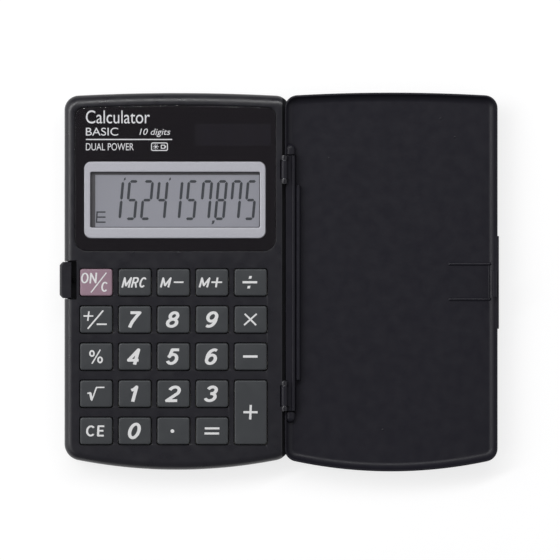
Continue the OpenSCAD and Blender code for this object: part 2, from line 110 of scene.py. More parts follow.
def softbox(name, place, size, power):
    """A rectangular light that looks at the middle of the object."""
    data = bpy.data.lights.new(name, "AREA")
    data.shape = "RECTANGLE"
    data.size, data.size_y = size
    data.energy = power
    lamp = new_object(name, data)
    lamp.location = (centre.x + place[0], centre.y + place[1], place[2])
    aim = Vector((centre.x, centre.y, 0)) - lamp.location
    lamp.rotation_mode = "QUATERNION"
    lamp.rotation_quaternion = aim.to_track_quat("-Z", "Y")


def make_studio():
    world = bpy.data.worlds.new("studio")
    world.use_nodes = True
    sky = world.node_tree.nodes["Background"]
    sky.inputs["Color"].default_value = SKY_COLOUR
    sky.inputs["Strength"].default_value = SKY_STRENGTH
    bpy.context.scene.world = world
    bpy.context.scene.view_settings.view_transform = "Standard"
    for name, (place, size, power) in LIGHTS.items():
        softbox(name, place, size, power)


# ---- materials

MATERIALS = {}
NOISE_GRAIN = 0.5  # a noise's grain at scale 1, in metres
WAVE_PITCH = 0.314  # the distance between bands at scale 1, in metres


def new_material(name, roughness, metallic=0.0, specular=0.5, alpha=1.0):
    """A Principled material's shader and its object coordinates."""
    made = bpy.data.materials.new(name)
    made.use_nodes = True
    MATERIALS[name] = made
    nodes = made.node_tree.nodes
    shader = nodes["Principled BSDF"]
    looks = {"Roughness": roughness, "Metallic": metallic, "Specular IOR Level": specular,
             "Alpha": alpha}
    for socket, value in looks.items():
        shader.inputs[socket].default_value = value
    return shader, nodes.new("ShaderNodeTexCoord").outputs["Object"]


def feed(output, node, socket):
    """Links an output to one of a node's inputs."""
    node.id_data.links.new(output, node.inputs[socket])


def noise(place, size, detail=2.0, stretch=None):
    """Noise whose grains are about size metres across, drawn out along stretch."""
    nodes = place.id_data.nodes
    if stretch:
        mapping = nodes.new("ShaderNodeMapping")
        mapping.inputs["Scale"].default_value = stretch
        feed(place, mapping, "Vector")
        place = mapping.outputs["Vector"]
    node = nodes.new("ShaderNodeTexNoise")
    node.inputs["Scale"].default_value = NOISE_GRAIN / size
    node.inputs["Detail"].default_value = detail
    feed(place, node, "Vector")
    return node.outputs["Fac"]


def ramp(factor, low, high, low_at=0.3, high_at=0.7):
    """A colour, or a grey level, that goes from low to high as factor does."""
    node = factor.id_data.nodes.new("ShaderNodeValToRGB")
    for stop, value, at in zip(node.color_ramp.elements, (low, high), (low_at, high_at)):
        stop.position = at
        stop.color = (*value, 1) if hasattr(value, "__len__") else (value, value, value, 1)
    feed(factor, node, "Fac")
    return node.outputs["Color"]


def bump(shader, height, depth, under=None):
    """Relief of depth metres; under is a bump's output that this one is laid over."""
    node = shader.id_data.nodes.new("ShaderNodeBump")
    node.inputs["Distance"].default_value = depth
    node.inputs["Strength"].default_value = 1.0
    feed(height, node, "Height")
    if under:
        feed(under, node, "Normal")
    feed(node.outputs["Normal"], shader, "Normal")
    return node.outputs["Normal"]


def shade(colour, factor):
    return tuple(min(1.0, c * factor) for c in colour)


def tint(shader, factor, colour, low, high):
    """The colour times low to high, as factor goes."""
    feed(ramp(factor, shade(colour, low), shade(colour, high)), shader, "Base Color")


def moulded(name, colour, roughness, grain=0.00018, depth=0.00001, mottle=0.05, specular=0.5):
    """Moulded plastic: a fine spark-eroded grain, a faint mottle and uneven sheen."""
    shader, place = new_material(name, roughness, specular=specular)
    tint(shader, noise(place, 0.006, 3.0), colour, 1 - mottle, 1 + mottle)
    sheen = noise(place, 0.0016, 4.0)
    feed(ramp(sheen, roughness - 0.06, roughness + 0.06), shader, "Roughness")
    coarse = bump(shader, noise(place, grain * 6, 2.0), depth * 1.5)
    bump(shader, noise(place, grain, 1.0), depth, under=coarse)


def mottled(name, colour, roughness, specular, cloud, spread, relief, depth):
    """A clouded surface with a fine relief; both noises are given as (size, detail)."""
    shader, place = new_material(name, roughness, specular=specular)
    tint(shader, noise(place, *cloud), colour, *spread)
    bump(shader, noise(place, *relief), depth)


def printed(name, colour):
    """Screen-printed ink: nearly even, with a slight tooth."""
    mottled(name, colour, 0.5, 0.3, (0.0002, 3.0), (0.94, 1.0), (0.0002, 3.0), 0.000004)


def metal(name, colour, roughness, stretch=(1, 1, 1), metallic=1.0):
    """Brushed or drawn metal; stretch is longest across the brushing."""
    shader, place = new_material(name, roughness, metallic=metallic)
    lines = noise(place, 0.0004, 4.0, stretch)
    tint(shader, lines, colour, 0.85, 1.0)
    feed(ramp(lines, roughness - 0.08, roughness + 0.08), shader, "Roughness")
    bump(shader, lines, 0.000003)


def striped(name, first, second, pitch, roughness, direction="X"):
    """Bands of two colours across the piece, pitch metres apart."""
    shader, place = new_material(name, roughness)
    wave = shader.id_data.nodes.new("ShaderNodeTexWave")
    wave.bands_direction = direction
    wave.inputs["Scale"].default_value = WAVE_PITCH / pitch
    feed(place, wave, "Vector")
    feed(ramp(wave.outputs["Fac"], first, second, 0.42, 0.58), shader, "Base Color")
    bump(shader, noise(place, 0.0004), 0.000003)


def board_laminate(name, colour, track):
    """Solder-masked board with tracks that show through the mask."""
    shader, place = new_material(name, 0.35)
    cells = shader.id_data.nodes.new("ShaderNodeTexVoronoi")
    cells.feature = "DISTANCE_TO_EDGE"
    cells.distance = "CHEBYCHEV"
    cells.inputs["Scale"].default_value = 260.0
    feed(place, cells, "Vector")
    feed(ramp(cells.outputs["Distance"], track, colour, 0.03, 0.07), shader, "Base Color")
    bump(shader, cells.outputs["Distance"], 0.00002)


def clear_window(name):
    """Clear acrylic: only its gloss shows, with a little haze and hairline marks."""
    shader, place = new_material(name, 0.1, metallic=1.0, alpha=0.02)
    haze = noise(place, 0.004, 4.0)
    feed(ramp(haze, (0.86, 0.86, 0.9), (1.0, 1.0, 1.0)), shader, "Base Color")
    marks = noise(place, 0.0006, 2.0, (1, 14, 1))
    feed(ramp(marks, 0.08, 0.16, 0.45, 0.8), shader, "Roughness")


def liquid_crystal(name, colour):
    """Grey reflective display: a fine diffuser grain under its polarising sheet."""
    shader, place = new_material(name, 0.4, specular=0.3)
    grain = noise(place, 0.00012, 2.0)
    mix = shader.id_data.nodes.new("ShaderNodeMix")
    mix.data_type = "RGBA"
    mix.blend_type = "MULTIPLY"
    mix.inputs["Factor"].default_value = 1.0
    feed(ramp(grain, shade(colour, 0.95), shade(colour, 1.04)), mix, "A")
    feed(ramp(noise(place, 0.012, 2.0), 0.94, 1.0), mix, "B")
    feed(mix.outputs["Result"], shader, "Base Color")
    bump(shader, grain, 0.000002)


def make_materials():
    moulded("case_plastic", (0.0114, 0.0109, 0.0148), 0.32, specular=0.48)
    moulded("cover_plastic", (0.0108, 0.0102, 0.0152), 0.42, 0.00014, 0.000006, 0.012, 0.26)
    for name, colour in (("key_plastic", (0.044, 0.047, 0.0505)),
                         ("clear_key_plastic", (0.285, 0.188, 0.232))):
        moulded(name, colour, 0.42, 0.00012, 0.000006, 0.04, 0.35)
    clear_window("window_plastic")
    # black ink on the back of the window: very smooth, with a faint violet cast; the same black also paints
    # shade in a ring round the display cell
    mottled("adhesive", (0.004, 0.0024, 0.004), 0.22, 0.2, (0.02, 3.0), (0.85, 1.15),
            (0.002, 2.0), 0.000002)
    metal("bezel_metal", (0.56, 0.56, 0.605), 0.42, (1, 30, 1), metallic=0.3)
    liquid_crystal("lcd_glass", (0.288, 0.292, 0.325))
    metal("reflector", (0.6, 0.6, 0.6), 0.5)
    moulded("holder_plastic", (0.6, 0.6, 0.57), 0.45)
    striped("connector_rubber", (0.6, 0.2, 0.27), (0.02, 0.02, 0.02), 0.0002, 0.6)
    striped("solar_glass", (0.0042, 0.0024, 0.005), (0.005, 0.0032, 0.0065), 0.006, 0.15)
    metal("lead_wire", (0.6, 0.3, 0.18), 0.35)
    board_laminate("board", (0.1, 0.16, 0.04), (0.2, 0.24, 0.07))
    moulded("epoxy", (0.012, 0.012, 0.012), 0.3, grain=0.0004)
    striped("capacitor", (0.02, 0.05, 0.16), (0.1, 0.14, 0.28), 0.0078, 0.35, "Z")
    mottled("keypad_rubber", (0.5, 0.48, 0.42), 0.6, 0.35, (0.003, 4.0), (0.9, 1.08),
            (0.0003, 3.0), 0.000008)
    metal("steel", (0.45, 0.45, 0.47), 0.32)
    metal("contact_metal", (0.62, 0.45, 0.2), 0.3, (1, 8, 1))
    printed("key_ink", (0.72, 0.72, 0.72))
    printed("panel_ink", (0.68, 0.68, 0.7))
    printed("segment_dye", (0.044, 0.048, 0.056))
    # painted shadow: the darker tone of the strips where the frame shades the display cell
    printed("frame_shadow_paint", (0.082, 0.08, 0.086))


def dress_cad_nodes():
    """Each CAD node takes its slot's material."""
    for part in frame["record"]["subparts"]:
        node = frame["nodes"][part["node"]]
        node.data.materials.clear()
        node.data.materials.append(MATERIALS[part["material_slot"]])


# ---- outlines

def arc(x, y, r, start, end, steps, ry=None):
    """Points of an arc round (x, y), angles in degrees; ry is its height if it is oval."""
    angles = [math.radians(start + (end - start) * i / steps) for i in range(steps + 1)]
    return [(x + r * math.cos(a), y + (r if ry is None else ry) * math.sin(a)) for a in angles]


def bowed_end(half, tip, rise, corner, inset, limit=None):
    """The display end of an outline, from its right side round to its left side.

    The end bows out by rise over the width, and limit cuts the right side off there.
    """
    h, c = half - inset, corner - inset
    bow = (half * half + rise * rise) / (2 * rise) - inset
    mid = tip - inset - bow
    turn = math.asin((h - c) / (bow - c))
    x, y = (bow - c) * math.sin(turn), mid + (bow - c) * math.cos(turn)
    turn = math.degrees(turn)
    start = math.degrees(math.acos(min(1.0, max(-1.0, (limit - x) / c)))) if limit else 0.0
    return (arc(x, y, c, start, 90 - turn, 10)
            + arc(0, mid, bow, 90 - turn * 0.95, 90 + turn * 0.95, 24)
            + arc(-x, y, c, 90 + turn, 180, 10))


def turned(points):
    """The points turned half round and back again, for the far end of an outline."""
    return [(-x, -y) for x, y in points]


def mirrored(points):
    """The points mirrored left to right and put back in order."""
    return [(-x, y) for x, y in reversed(points)]


def rounded_box(low, high, r, steps=5):
    """A rectangle with rounded corners, counter-clockwise from its right side."""
    (x0, y0), (x1, y1) = low, high
    return (arc(x1 - r, y1 - r, r, 0, 90, steps) + arc(x0 + r, y1 - r, r, 90, 180, steps)
            + arc(x0 + r, y0 + r, r, 180, 270, steps) + arc(x1 - r, y0 + r, r, 270, 360, steps))


def tidy(points):
    """The points without neighbours that coincide."""
    kept = []
    for p in points:
        if not kept or math.dist(p, kept[-1]) > 1e-4:
            kept.append(p)
    while len(kept) > 1 and math.dist(kept[0], kept[-1]) < 1e-4:
        kept.pop()
    return kept


def anticlockwise(points):
    """The points in anticlockwise order."""
    area = sum(a[0] * b[1] - b[0] * a[1] for a, b in zip(points, points[1:] + points[:1]))
    return points if area > 0 else list(reversed(points))


def level(outline, z):
    """The outline's points at height z."""
    return [(x, y, z) for x, y in outline]


def circle(x, y, r, steps=32):
    return arc(x, y, r, 0, 360 * (steps - 1) / steps, steps - 1)


def edge_steps(r, steps=5):
    """(inset, drop) pairs of a rounded edge of radius r, from its side to its top."""
    turns = [math.radians(90 * i / steps) for i in range(steps + 1)]
    return [(r * (1 - math.cos(a)), r * (1 - math.sin(a))) for a in turns]


# ---- meshes

SHARP_ANGLE = 32  # edges that turn by more degrees than this stay sharp


class Shell:
    """A mesh under construction, in millimetres."""

    def __init__(self):
        self.points, self.faces = [], []

    def loop(self, points):
        first = len(self.points)
        self.points += [tuple(p) for p in points]
        return list(range(first, len(self.points)))

    def loft(self, rings):
        """A skin through rings that all have the same number of points."""
        loops = [self.loop(r) for r in rings]
        for a, b in zip(loops, loops[1:]):
            for i in range(len(a)):
                j = (i + 1) % len(a)
                self.faces.append((a[i], a[j], b[j], b[i]))

    def region(self, solids, holes, place):
        """Fills the solids' outlines less the holes'; place turns (x, y) into a point.

        Returns the border as pairs of points.
        """
        outlines = [anticlockwise(tidy(o)) for o in list(solids) + list(holes)]
        flat, loops = [], []
        for outline in outlines:
            loops.append(list(range(len(flat), len(flat) + len(outline))))
            flat += [Vector(p) for p in outline]
        spots, _, triangles, _, _, owners = delaunay_2d_cdt(flat, [], loops, 0, 1e-5)
        kept = [
            t for t, own in zip(triangles, owners)
            if any(o < len(solids) for o in own) and not any(o >= len(solids) for o in own)
        ]
        index = self.loop([place(p.x, p.y) for p in spots])
        edges = {}
        for t in kept:
            self.faces.append(tuple(index[i] for i in t))
            for a, b in zip(t, t[1:] + t[:1]):
                edges[(min(a, b), max(a, b))] = edges.get((min(a, b), max(a, b)), 0) + 1
        return [(tuple(spots[a]), tuple(spots[b])) for (a, b), n in edges.items() if n == 1]

    def cap(self, ring, holes=()):
        """Closes a level ring, less the holes' outlines."""
        z = ring[0][2]
        self.region([[(x, y) for x, y, _ in ring]], holes, lambda x, y: (x, y, z))

    def solid(self, rings):
        """A skin through rings, closed at its first and last."""
        self.loft(rings)
        self.cap(rings[0])
        self.cap(rings[-1])

    def flat_text(self, text, left, base, height, width, lean, z0, z1):
        """Lettering in Blender's own font; height and width are over the ink."""
        data = bpy.data.curves.new("lettering", "FONT")
        data.body, data.shear = text, lean
        shaped = new_object("lettering", data)
        bpy.context.view_layer.update()
        mesh = bpy.data.meshes.new_from_object(shaped.evaluated_get(bpy.context.evaluated_depsgraph_get()))
        merged = bmesh.new()
        merged.from_mesh(mesh)
        bmesh.ops.remove_doubles(merged, verts=merged.verts, dist=1e-4)
        xs, ys = [v.co.x for v in merged.verts], [v.co.y for v in merged.verts]
        kx, ky = width / (max(xs) - min(xs)), height / (max(ys) - min(ys))
        flat_points = [(left + (v.co.x - min(xs)) * kx, base + (v.co.y - min(ys)) * ky)
                       for v in merged.verts]
        faces = [[v.index for v in f.verts] for f in merged.faces]
        rim = [[v.index for v in e.verts] for e in merged.edges if len(e.link_faces) == 1]
        merged.free()
        bpy.data.objects.remove(shaped)
        bpy.data.curves.remove(data)
        bpy.data.meshes.remove(mesh)
        under, over = self.loop(level(flat_points, z0)), self.loop(level(flat_points, z1))
        self.faces += [tuple(side[i] for i in f) for side in (under, over) for f in faces]
        self.faces += [(under[a], under[b], over[b], over[a]) for a, b in rim]

    def plate(self, solids, z0, z1, holes=()):
        """A flat plate of the solids' outlines joined together, less the holes."""
        self.region(solids, holes, lambda x, y: (x, y, z0))
        for a, b in self.region(solids, holes, lambda x, y: (x, y, z1)):
            wall = self.loop([(*a, z0), (*b, z0), (*b, z1), (*a, z1)])
            self.faces.append(tuple(wall))

    def bar(self, profile, y0, y1, edge=0.12):
        """An (x, z) profile drawn along Y, its ends drawn in by a small edge."""
        mid_x = sum(p[0] for p in profile) / len(profile)
        mid_z = sum(p[1] for p in profile) / len(profile)
        reach = max(math.dist(p, (mid_x, mid_z)) for p in profile)
        k = 1 - edge / reach
        small = [(mid_x + (x - mid_x) * k, mid_z + (z - mid_z) * k) for x, z in profile]
        half = [((a + c) / 2 + (a - c) * 0.2, (b + d) / 2 + (b - d) * 0.2)
                for (a, b), (c, d) in zip(profile, small)]
        spots = [(small, y0), (half, y0 + 0.3 * edge), (profile, y0 + edge),
                 (profile, y1 - edge), (half, y1 - 0.3 * edge), (small, y1)]
        self.loft([[(x, y, z) for x, z in ring] for ring, y in spots])
        for y in (y0, y1):
            self.region([small], [], lambda x, z, y=y: (x, y, z))

    def lathe(self, place, profile, steps=32):
        """A solid of revolution; profile holds (radius, height) pairs.

        place turns two steps across the axis and a height along it into a point.
        """
        angles = [2 * math.pi * i / steps for i in range(steps)]
        self.loft([[place(r * math.cos(a), r * math.sin(a), h) for a in angles] for r, h in profile])

    def post(self, x, y, inner, outer, z0, z1):
        """A hollow round post."""
        self.lathe(lambda a, b, z: (x + a, y + b, z),
                    [(inner, z0), (outer, z0), (outer, z1), (inner, z1), (inner, z0)])

    def make(self, name, material, body, replaces=()):
        """The finished piece: closed, shaded smooth up to a sharp angle, riding on a body."""
        mesh = bpy.data.meshes.new(name)
        built = bmesh.new()
        verts = [built.verts.new((x * MM, y * MM, z * MM)) for x, y, z in self.points]
        for f in self.faces:
            if len(set(f)) > 2:
                try:
                    built.faces.new([verts[i] for i in f])
                except ValueError:
                    pass
        bmesh.ops.remove_doubles(built, verts=built.verts, dist=2e-6)
        bmesh.ops.dissolve_degenerate(built, edges=built.edges, dist=1e-6)
        bmesh.ops.recalc_face_normals(built, faces=built.faces)
        loose = [v for v in built.verts if not v.link_faces]
        bmesh.ops.delete(built, geom=loose, context="VERTS")
        for f in built.faces:
            f.smooth = True
        built.to_mesh(mesh)
        built.free()
        mesh.set_sharp_from_angle(angle=math.radians(SHARP_ANGLE))
        mesh.materials.append(MATERIALS[material])
        piece = new_object(name, mesh)
        even = piece.modifiers.new("even_shading", "WEIGHTED_NORMAL")
        even.keep_sharp = True
        even.weight = 100
        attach(piece, body)
        if replaces:
            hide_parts(*replaces)


# ---- the case

HALF_W, END_Y, SPLIT_Z = box("lower_case")[1]
window_low, window_high = box("display_window")
WINDOW_Z, DECK_Z = window_low.z, window_high.z
RECESS_Z = box("window_adhesive")[0].z
WALL, FLOOR_T, DECK_T = 1.6, 1.5, 1.4
CEILING_Z = DECK_Z - DECK_T
SHOULDER_R, FOOT_R, HINGE_EDGE_R = 2.5, 1.5, 0.35
END_SPREAD = 0.28  # the shoulder is this much broader at the display end
HEEL = 0.6  # and the foot's rounding this much narrower at the other
PARTING = 0.12  # chamfer along the line where the halves meet
SCREW_SEAT_Z = 1.2
TOP_RISE, BOTTOM_RISE = 1.0, 3.7
TOP_CORNER, BOTTOM_CORNER = 4.3, 5.0
DECK_EDGE_X = 31.25
HOLLOW_X = DECK_EDGE_X - WALL

pin_low, pin_high = box("hinge_pin_upper")
AXIS_X, AXIS_Z = (pin_low.x + pin_high.x) / 2, (pin_low.z + pin_high.z) / 2
KNUCKLES = [(box(n)[0].y, box(n)[1].y) for n in ("hinge_pin_lower", "hinge_pin_upper")]
KNUCKLE_R, EAR_L = 1.0, 1.4

latch_low, latch_high = box("latch_lever")
POCKET_X = box("latch_spring")[1].x
POCKET_GAP, POCKET_WALL, POCKET_FLOOR = 0.3, 0.85, 1.0
POCKET = (latch_low.y - POCKET_GAP, latch_high.y + POCKET_GAP)

SCREWS = [(-27.5, 50.6), (27.0, 50.6), (-27.5, -51.1), (27.0, -51.1), (4.65, 6.3)]
HEAD_R, SHANK_R = 1.75, 1.1
BOARD_SCREWS = [(-18.27, -5.81), (16.11, -5.81), (-18.27, -38.87), (4.65, -38.87),
                (-26.5, 37.7), (26.5, 37.7)]
POST_R, BOARD_POST_R = (1.02, 2.0), (0.56, 1.2)  # the inside and outside of the posts


def case_ring(z, inset, pocket=0.0, pocket_x=None, limit=None, notch_x=None, notch_grow=0.0,
              spread=0.0, heel=0.0):
    """One level of the case's skin.

    pocket widens the latch's pocket, which reaches in to pocket_x; limit is the deck's
    edge on the hinge side, and notch_x is how far the barrels' notches reach in. spread
    draws the display end in further than the sides, and heel lets the other end out.
    """
    left = -(HALF_W - inset)
    right = HALF_W - inset if limit is None else min(limit, HALF_W - inset)
    px = left if pocket_x is None else max(left, pocket_x)
    nx = right if notch_x is None else min(right, notch_x)
    side = [(left, POCKET[1] + pocket), (px, POCKET[1] + pocket),
            (px, POCKET[0] - pocket), (left, POCKET[0] - pocket)]
    hinge = []
    for y0, y1 in KNUCKLES:
        a, b = y0 + EAR_L - notch_grow, y1 - EAR_L + notch_grow
        hinge += [(right, a), (nx, a), (nx, b), (right, b)]
    far = bowed_end(HALF_W, END_Y - spread * inset, TOP_RISE, TOP_CORNER, inset, limit)
    near = bowed_end(HALF_W, END_Y + heel, BOTTOM_RISE, BOTTOM_CORNER, inset, limit)
    return level(far + side + turned(mirrored(near)) + hinge, z)


def hollow_ring(z, heel=0.0):
    return case_ring(z, WALL, POCKET_WALL, POCKET_X + POCKET_WALL, HOLLOW_X, heel=heel)


def hole_walls(shell, outline_at, levels):
    """The walls of a hole: outline_at(grow) drawn at each (grow, z) level."""
    shell.loft([level(outline_at(grow), z) for grow, z in levels])


def make_lower_case():
    shell = Shell()
    foot = list(reversed(edge_steps(FOOT_R, 6)))
    sill = FOOT_R - math.sqrt(FOOT_R ** 2 - (FOOT_R - POCKET_FLOOR) ** 2)

    def ring(inset, z, pocket_x=POCKET_X):
        return case_ring(z, inset, pocket_x=pocket_x, heel=HEEL * inset)

    skin = [ring(inset, z, None) for inset, z in foot if z < POCKET_FLOOR]
    skin += [ring(sill, POCKET_FLOOR, None), ring(sill, POCKET_FLOOR)]
    skin += [ring(inset, z) for inset, z in foot if z > POCKET_FLOOR]
    skin += [ring(0, SPLIT_Z - PARTING), case_ring(SPLIT_Z, PARTING, pocket_x=POCKET_X),
             hollow_ring(SPLIT_Z, HEEL), hollow_ring(FLOOR_T, HEEL)]
    shell.loft(skin)
    heads = [circle(x, y, HEAD_R) for x, y in SCREWS]
    shanks = [circle(x, y, SHANK_R) for x, y in SCREWS]
    shell.cap(skin[0], heads)
    shell.cap(skin[-1], shanks)
    for head, shank in zip(heads, shanks):
        shell.loft([level(head, 0.0), level(head, SCREW_SEAT_Z),
                    level(shank, SCREW_SEAT_Z), level(shank, FLOOR_T)])
    for x, y in SCREWS:
        shell.post(x, y, SHANK_R + 0.05, POST_R[1], FLOOR_T - 0.05, SPLIT_Z - 0.02)
    shell.make("lower_shell", "case_plastic", "case", ["lower_case"])


KEY_GAP, KEY_CORNER = 0.2, 0.75
LIP = 0.14  # rounding of the deck's openings
KEY_NODES = [p["node"] for p in frame["record"]["subparts"] if p["node"].startswith("key_")]
FLANGE_L = 0.6


def key_area(node):
    """The plan of a key's cap, its low and high corners, without the hidden flange."""
    low, high = box(node)
    return (low.x, low.y + FLANGE_L), (high.x, high.y - FLANGE_L)


def key_hole(node, grow=0.0):
    (x0, y0), (x1, y1) = key_area(node)
    g = KEY_GAP + grow
    return rounded_box((x0 - g, y0 - g), (x1 + g, y1 + g), KEY_CORNER + grow)


def window_outline(grow=0.0):
    """The window's plan: its display end follows the case's."""
    half, tip = (window_high.x - window_low.x) / 2, (window_high.y - window_low.y) / 2
    mid_x, mid_y = (window_low.x + window_high.x) / 2, (window_low.y + window_high.y) / 2
    far = bowed_end(half, tip, 0.8, 2.7, -grow)
    near = turned(mirrored(bowed_end(half, tip, 0.05, 3.8, -grow)))
    return [(x + mid_x, y + mid_y) for x, y in far + near]


def node_outline(node, grow, r=0.4, steps=5):
    """A CAD node's plan, grown on every side and with rounded corners."""
    low, high = box(node)
    return rounded_box((low.x - grow, low.y - grow), (high.x + grow, high.y + grow), r, steps)


WINDOW_GAP = 0.08


def make_upper_case():
    shell = Shell()
    notch_z = AXIS_Z - 2.2
    notch_x = AXIS_X - KNUCKLE_R - 0.1
    plain = {"pocket_x": POCKET_X, "limit": DECK_EDGE_X}
    skin = [hollow_ring(CEILING_Z), hollow_ring(SPLIT_Z),
            case_ring(SPLIT_Z, PARTING, **plain), case_ring(SPLIT_Z + PARTING, 0, **plain),
            case_ring(notch_z, 0, **plain), case_ring(notch_z, 0, notch_x=notch_x, **plain)]
    for inset, drop in edge_steps(SHOULDER_R, 12):
        soft = max(0.0, HINGE_EDGE_R - drop)
        back = HINGE_EDGE_R - math.sqrt(HINGE_EDGE_R ** 2 - soft ** 2)
        grow = min(back, LIP)
        skin.append(case_ring(DECK_Z - drop, inset, grow, POCKET_X + grow, DECK_EDGE_X - back,
                              notch_x - grow, grow, END_SPREAD))
    shell.loft(skin)
    levels = [(0, CEILING_Z), (0, DECK_Z - LIP), (0.3 * LIP, DECK_Z - 0.3 * LIP), (LIP, DECK_Z)]
    for node in KEY_NODES:
        hole_walls(shell, lambda g, n=node: key_hole(n, g), levels)
    hole_walls(shell, lambda g: window_outline(WINDOW_GAP + g), [(0, RECESS_Z)] + levels[1:])
    lower = [node_outline("display_bezel", 0.15), node_outline("solar_cell", 0.15)]
    for outline in lower:
        shell.loft([level(outline, CEILING_Z), level(outline, RECESS_Z)])
    shell.cap(skin[-1], [key_hole(n, LIP) for n in KEY_NODES] + [window_outline(WINDOW_GAP + LIP)])
    shell.cap(level(window_outline(WINDOW_GAP), RECESS_Z), lower)
    shell.cap(skin[0], [key_hole(n) for n in KEY_NODES] + lower)
    for x, y in SCREWS:
        shell.post(x, y, *POST_R, SPLIT_Z + 0.02, CEILING_Z + 0.05)
    for x, y in BOARD_SCREWS:
        shell.post(x, y, *BOARD_POST_R, box("circuit_board")[1].z, CEILING_Z + 0.05)
    shell.make("upper_shell", "case_plastic", "case", ["upper_case"])


def make_ears():
    """The case's four round ears, which carry the hinge pins."""
    shell = Shell()
    for y0, y1 in KNUCKLES:
        for a in (y0, y1 - EAR_L):
            root_x = DECK_EDGE_X - 0.4
            profile = ([(root_x, AXIS_Z - 2), (AXIS_X - 0.3, AXIS_Z - 2), (AXIS_X, AXIS_Z - 1.7)]
                       + arc(AXIS_X, AXIS_Z, KNUCKLE_R, -90, 180, 20) + [(root_x, AXIS_Z - 0.3)])
            shell.bar(profile, a + 0.04, a + EAR_L - 0.04, edge=0.08)
    shell.make("hinge_ears", "case_plastic", "case")


# ---- keys and their legends

KEY_EDGE, KEY_CROWN = 0.45, 0.06
KEY_WALL, KEY_ROOF = 1.1, 1.2


def make_key(node):
    (x0, y0), (x1, y1) = key_area(node)
    low, high = box(node)
    foot, top = low.z, high.z

    def ring(inset, z):
        corner = max(0.15, KEY_CORNER - inset * 0.6)
        return level(rounded_box((x0 + inset, y0 + inset), (x1 - inset, y1 - inset), corner), z)

    shell = Shell()
    rings = [ring(KEY_WALL, top - KEY_ROOF), ring(KEY_WALL, foot + 0.1), ring(KEY_WALL - 0.1, foot),
             ring(0.1, foot), ring(0.0, foot + 0.1)]
    rings += [ring(0.02 + inset, top - KEY_CROWN - drop) for inset, drop in edge_steps(KEY_EDGE, 5)]
    rings += [ring(KEY_EDGE + 1.2, top - KEY_CROWN * 0.35), ring(KEY_EDGE + 2.4, top)]
    shell.loft(rings)
    shell.cap(rings[-1])
    shell.cap(rings[0])
    mid_x, mid_y = (x0 + x1) / 2, (y0 + y1) / 2
    shell.plate([circle(mid_x, mid_y, 1.5)], foot, top - KEY_ROOF)
    for a, b in ((y0 - FLANGE_L, y0), (y1, y1 + FLANGE_L)):
        shell.plate([[(mid_x - 3.2, a), (mid_x + 3.2, a), (mid_x + 3.2, b), (mid_x - 3.2, b)]],
                    foot, foot + 0.5)
    plastic = "clear_key_plastic" if node == "key_on_clear" else "key_plastic"
    shell.make(node + "_cap", plastic, node, [node])


def stroke(points, t, closed=False, broad=1.0):
    """Outlines that together cover a line of thickness t through the points.

    A pen that is broad draws upright lines thicker than level ones.
    """
    points = [(x / broad, y) for x, y in points]
    out = []
    ends = list(zip(points, points[1:] + points[:1])) if closed else list(zip(points, points[1:]))
    for (ax, ay), (bx, by) in ends:
        length = math.dist((ax, ay), (bx, by))
        if length < 1e-6:
            continue
        nx, ny = -(by - ay) / length * t / 2, (bx - ax) / length * t / 2
        out.append([(ax + nx, ay + ny), (ax - nx, ay - ny), (bx - nx, by - ny), (bx + nx, by + ny)])
    for x, y in (points if closed else points[1:-1]):
        out.append(circle(x, y, t / 2, 16))
    return [[(x * broad, y) for x, y in outline] for outline in out]


def oval(y, r, ry, start=0):
    """A closed line for the letters, marked as a loop."""
    return "loop", arc(0.5, y, r, start, start + 345, 23, ry)


# Letters and digits as lines through a unit square, each with its width over its height.
GLYPHS = {
    "0": (0.76, [oval(0.5, 0.5, 0.5, 90)]),
    "1": (0.56, [[(0.16, 0.76), (0.5, 0.82), (0.78, 1.0), (0.78, -0.08)]]),
    "2": (0.76, [arc(0.5, 0.7, 0.48, 165, -35, 12, 0.3) + [(0.0, 0.0), (1.04, 0.0)]]),
    "3": (0.74, [arc(0.47, 0.75, 0.44, 160, -80, 11, 0.25) + [(0.4, 0.51)],
                 [(0.42, 0.51)] + arc(0.47, 0.26, 0.5, 80, -160, 12, 0.26)]),
    "4": (0.8, [[(0.74, -0.08), (0.74, 1.0), (0.0, 0.24), (1.04, 0.24)]]),
    "5": (0.76, [[(0.98, 1.0), (0.22, 1.0), (0.1, 0.5)] + arc(0.47, 0.33, 0.5, 145, -155, 14, 0.33)]),
    "6": (0.76, [oval(0.31, 0.48, 0.31),
                 arc(0.63, 0.5, 0.61, 196, 62, 8, 0.5)]),
    "7": (0.76, [[(-0.04, 1.0), (1.0, 1.0), (0.7, 0.66), (0.42, 0.3), (0.3, -0.08)]]),
    "8": (0.76, [oval(0.76, 0.41, 0.24),
                 oval(0.26, 0.5, 0.26)]),
    "9": (0.76, [oval(0.69, 0.48, 0.31),
                 arc(0.37, 0.5, 0.61, 16, -118, 8, 0.5)]),
    "C": (0.8, [arc(0.52, 0.5, 0.5, 42, 318, 20, 0.5)]),
    "E": (0.66, [[(1.0, 1.0), (0.0, 1.0), (0.0, 0.0), (1.0, 0.0)], [(0.0, 0.52), (0.9, 0.52)]]),
    "M": (0.98, [[(0.0, -0.08), (0.0, 1.0), (0.5, 0.14), (1.0, 1.0), (1.0, -0.08)]]),
    "N": (0.78, [[(0.0, -0.08), (0.0, 1.0), (1.0, 0.0), (1.0, 1.08)]]),
    "O": (0.84, [oval(0.5, 0.5, 0.5, 90)]),
    "R": (0.78, [[(0.0, -0.08), (0.0, 1.0), (0.6, 1.0)] + arc(0.62, 0.74, 0.34, 90, -90, 8, 0.26)
                 + [(0.0, 0.48)], [(0.55, 0.48), (0.98, -0.08)]]),
}
PEN = 1.2  # how much broader the legends' upright lines are


